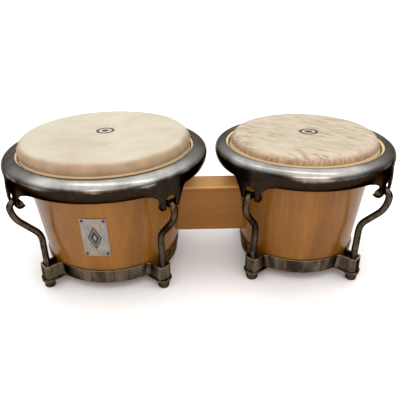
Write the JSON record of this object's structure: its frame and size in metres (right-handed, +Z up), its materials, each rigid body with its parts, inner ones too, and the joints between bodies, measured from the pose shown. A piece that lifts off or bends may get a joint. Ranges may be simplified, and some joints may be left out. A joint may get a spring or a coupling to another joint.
{
  "type": "bongo drums",
  "caption": "Pair of hand drums on a wooden centre block: tapered wooden shells, hide heads, curved steel rims, hooked tuning rods with nuts under a looped bottom ring.",
  "frame": {"origin": "on the floor, at the middle of the pair's overall length and depth", "axes": "+X from the large drum to the small drum, +Y away from the player's side view of the name plate, +Z up through the drums' axes"},
  "size_m": [0.4872, 0.2574, 0.1805],
  "materials": {
    "shell_wood": "gloss lacquered straight grain",
    "block_wood": "satin lacquered straight grain",
    "hembra_skin": "smooth matt rawhide",
    "macho_skin": "streaked matt rawhide",
    "hoop_steel": "plain",
    "rim_metal": "antique black nickel, polished",
    "rod_metal": "antique black nickel",
    "ring_metal": "antique black nickel, brushed",
    "nut_metal": "antique black nickel",
    "washer_metal": "antique black nickel",
    "hidden_steel": "zinc plated",
    "badge_metal": "brushed",
    "pin_metal": "dark bronzed"
  },
  "bodies": {
    "drum_frame": {"hembra_shell": "shell_wood", "hembra_head": "hembra_skin", "hembra_flesh_hoop": "hoop_steel", "hembra_bottom_ring": "ring_metal", "hembra_backing_plate": "hidden_steel", "hembra_block_bolts": "hidden_steel", "hembra_bolt_washers": "hidden_steel", "hembra_washer_1": "washer_metal", "hembra_washer_2": "washer_metal", "hembra_washer_3": "washer_metal", "hembra_washer_4": "washer_metal", "hembra_lug_plate_1": "ring_metal", "hembra_lug_plate_2": "ring_metal", "hembra_lug_plate_3": "ring_metal", "hembra_lug_plate_4": "ring_metal", "macho_shell": "shell_wood", "macho_head": "macho_skin", "macho_flesh_hoop": "hoop_steel", "macho_bottom_ring": "ring_metal", "macho_backing_plate": "hidden_steel", "macho_block_bolts": "hidden_steel", "macho_bolt_washers": "hidden_steel", "macho_washer_1": "washer_metal", "macho_washer_2": "washer_metal", "macho_washer_3": "washer_metal", "macho_washer_4": "washer_metal", "macho_lug_plate_1": "ring_metal", "macho_lug_plate_2": "ring_metal", "macho_lug_plate_3": "ring_metal", "macho_lug_plate_4": "ring_metal", "centre_block": "block_wood", "threaded_inserts": "hidden_steel", "badge_plate": "badge_metal", "badge_pins": "pin_metal"},
    "hembra_rim_and_rods": {"hembra_rim": "rim_metal", "hembra_tuning_rod_1": "rod_metal", "hembra_tuning_rod_2": "rod_metal", "hembra_tuning_rod_3": "rod_metal", "hembra_tuning_rod_4": "rod_metal"},
    "hembra_nut_1_body": {"hembra_nut_1": "nut_metal"},
    "hembra_nut_2_body": {"hembra_nut_2": "nut_metal"},
    "hembra_nut_3_body": {"hembra_nut_3": "nut_metal"},
    "hembra_nut_4_body": {"hembra_nut_4": "nut_metal"},
    "macho_rim_and_rods": {"macho_rim": "rim_metal", "macho_tuning_rod_1": "rod_metal", "macho_tuning_rod_2": "rod_metal", "macho_tuning_rod_3": "rod_metal", "macho_tuning_rod_4": "rod_metal"},
    "macho_nut_1_body": {"macho_nut_1": "nut_metal"},
    "macho_nut_2_body": {"macho_nut_2": "nut_metal"},
    "macho_nut_3_body": {"macho_nut_3": "nut_metal"},
    "macho_nut_4_body": {"macho_nut_4": "nut_metal"}
  },
  "joints": [
    {"name": "hembra_nut_1_turn", "type": "hinge", "parent": "drum_frame", "child": "hembra_nut_1_body", "pos_m": [-0.19054, -0.07059, 0.0048], "axis": [0, 0, -1], "range_deg": [0, 1728]},
    {"name": "hembra_nut_2_turn", "type": "hinge", "parent": "drum_frame", "child": "hembra_nut_2_body", "pos_m": [-0.04426, -0.07569, 0.0048], "axis": [0, 0, -1], "range_deg": [0, 1728]},
    {"name": "hembra_nut_3_turn", "type": "hinge", "parent": "drum_frame", "child": "hembra_nut_3_body", "pos_m": [-0.03916, 0.07059, 0.0048], "axis": [0, 0, -1], "range_deg": [0, 1728]},
    {"name": "hembra_nut_4_turn", "type": "hinge", "parent": "drum_frame", "child": "hembra_nut_4_body", "pos_m": [-0.18544, 0.07569, 0.0048], "axis": [0, 0, -1], "range_deg": [0, 1728]},
    {"name": "hembra_rim_slide", "type": "slide", "parent": "drum_frame", "child": "hembra_rim_and_rods", "axis": [0, 0, 1], "range_m": [0, 0.006]},
    {"name": "macho_nut_1_turn", "type": "hinge", "parent": "drum_frame", "child": "macho_nut_1_body", "pos_m": [0.06918, -0.06036, 0.0048], "axis": [0, 0, -1], "range_deg": [0, 1728]},
    {"name": "macho_nut_2_turn", "type": "hinge", "parent": "drum_frame", "child": "macho_nut_2_body", "pos_m": [0.19426, -0.06473, 0.0048], "axis": [0, 0, -1], "range_deg": [0, 1728]},
    {"name": "macho_nut_3_turn", "type": "hinge", "parent": "drum_frame", "child": "macho_nut_3_body", "pos_m": [0.19862, 0.06036, 0.0048], "axis": [0, 0, -1], "range_deg": [0, 1728]},
    {"name": "macho_nut_4_turn", "type": "hinge", "parent": "drum_frame", "child": "macho_nut_4_body", "pos_m": [0.07354, 0.06473, 0.0048], "axis": [0, 0, -1], "range_deg": [0, 1728]},
    {"name": "macho_rim_slide", "type": "slide", "parent": "drum_frame", "child": "macho_rim_and_rods", "axis": [0, 0, 1], "range_m": [0, 0.006]}
  ],
  "couplings": [
    {"joint": "hembra_nut_1_turn", "follows": "hembra_rim_slide", "rad_per_m": 5026.5},
    {"joint": "hembra_nut_2_turn", "follows": "hembra_rim_slide", "rad_per_m": 5026.5},
    {"joint": "hembra_nut_3_turn", "follows": "hembra_rim_slide", "rad_per_m": 5026.5},
    {"joint": "hembra_nut_4_turn", "follows": "hembra_rim_slide", "rad_per_m": 5026.5},
    {"joint": "macho_nut_1_turn", "follows": "macho_rim_slide", "rad_per_m": 5026.5},
    {"joint": "macho_nut_2_turn", "follows": "macho_rim_slide", "rad_per_m": 5026.5},
    {"joint": "macho_nut_3_turn", "follows": "macho_rim_slide", "rad_per_m": 5026.5},
    {"joint": "macho_nut_4_turn", "follows": "macho_rim_slide", "rad_per_m": 5026.5}
  ]
}
